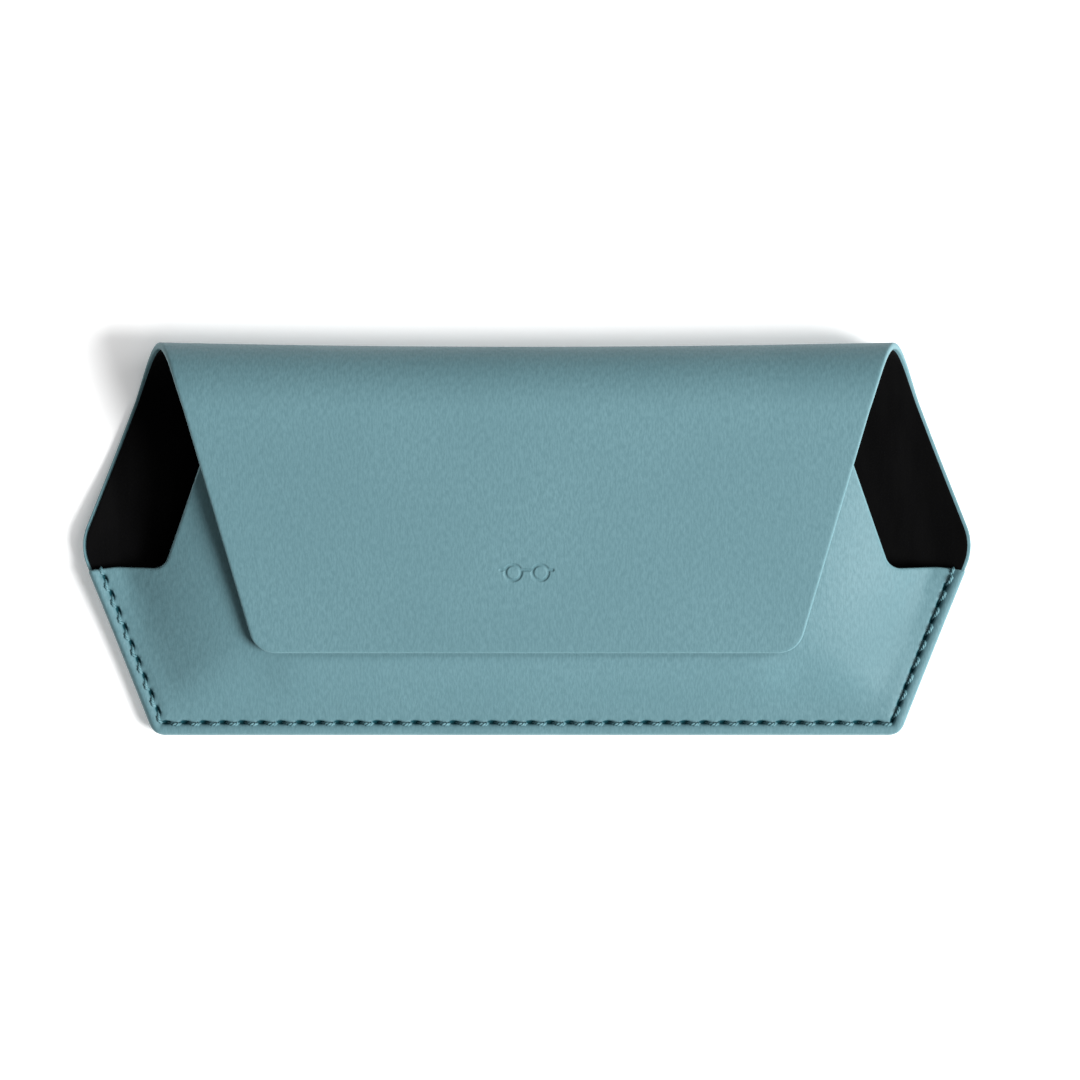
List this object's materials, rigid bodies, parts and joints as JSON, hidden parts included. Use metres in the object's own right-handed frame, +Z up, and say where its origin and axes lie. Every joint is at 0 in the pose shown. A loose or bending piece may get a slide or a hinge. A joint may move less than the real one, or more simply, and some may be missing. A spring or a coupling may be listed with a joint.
{
  "type": "eyeglasses case",
  "caption": "Soft leather eyeglasses case: a sewn, domed pocket with slanted ends and a tapering flap that rolls over a rounded fold and closes on hidden magnets.",
  "frame": {"origin": "on the resting face, under the middle of the closed case's bounding box", "axes": "+X along the case from tip to tip, +Y from the sewn bottom edge towards the rolled fold, +Z up, out of the flap; the case lies on its back"},
  "size_m": [0.1654, 0.0726, 0.021],
  "materials": {
    "leather": "smooth satin, dusty teal",
    "lining": "black microfibre, brushed",
    "board": "grey-brown bookbinder's board",
    "magnet": "nickel-plated",
    "thread": "bonded polyester thread, dark teal"
  },
  "bodies": {
    "pocket": {"back_leather": "leather", "back_board": "board", "back_lining": "lining", "front_leather": "leather", "front_board": "board", "front_lining": "lining", "front_magnet_left": "magnet", "front_magnet_right": "magnet", "seam_needle_thread": "thread", "seam_bobbin_thread": "thread"},
    "fold_1": {"fold_leather_1": "leather", "fold_lining_1": "lining"},
    "fold_2": {"fold_leather_2": "leather", "fold_lining_2": "lining"},
    "fold_3": {"fold_leather_3": "leather", "fold_lining_3": "lining"},
    "fold_4": {"fold_leather_4": "leather", "fold_lining_4": "lining"},
    "fold_5": {"fold_leather_5": "leather", "fold_lining_5": "lining"},
    "fold_6": {"fold_leather_6": "leather", "fold_lining_6": "lining"},
    "flap": {"flap_leather": "leather", "flap_board": "board", "flap_lining": "lining", "flap_magnet_left": "magnet", "flap_magnet_right": "magnet"}
  },
  "joints": [
    {"name": "flap_open", "type": "hinge", "parent": "pocket", "child": "fold_1", "pos_m": [0, 0.0258, 0], "axis": [-1, 0, 0], "range_deg": [0, 16]},
    {"name": "fold_bend_2", "type": "hinge", "parent": "fold_1", "child": "fold_2", "pos_m": [0, 0.03136, 0.0016], "axis": [-1, 0, 0], "range_deg": [0, 32]},
    {"name": "fold_bend_3", "type": "hinge", "parent": "fold_2", "child": "fold_3", "pos_m": [0, 0.03524, 0.0059], "axis": [-1, 0, 0], "range_deg": [0, 32]},
    {"name": "fold_bend_4", "type": "hinge", "parent": "fold_3", "child": "fold_4", "pos_m": [0, 0.03624, 0.0116], "axis": [-1, 0, 0], "range_deg": [0, 32]},
    {"name": "fold_bend_5", "type": "hinge", "parent": "fold_4", "child": "fold_5", "pos_m": [0, 0.03407, 0.01696], "axis": [-1, 0, 0], "range_deg": [0, 32]},
    {"name": "fold_bend_6", "type": "hinge", "parent": "fold_5", "child": "fold_6", "pos_m": [0, 0.02939, 0.02037], "axis": [-1, 0, 0], "range_deg": [0, 32]},
    {"name": "fold_bend_7", "type": "hinge", "parent": "fold_6", "child": "flap", "pos_m": [0, 0.02362, 0.02077], "axis": [-1, 0, 0], "range_deg": [0, 16]}
  ],
  "couplings": [
    {"joint": "fold_bend_2", "follows": "flap_open", "ratio": 2},
    {"joint": "fold_bend_3", "follows": "flap_open", "ratio": 2},
    {"joint": "fold_bend_4", "follows": "flap_open", "ratio": 2},
    {"joint": "fold_bend_5", "follows": "flap_open", "ratio": 2},
    {"joint": "fold_bend_6", "follows": "flap_open", "ratio": 2},
    {"joint": "fold_bend_7", "follows": "flap_open", "ratio": 1}
  ]
}
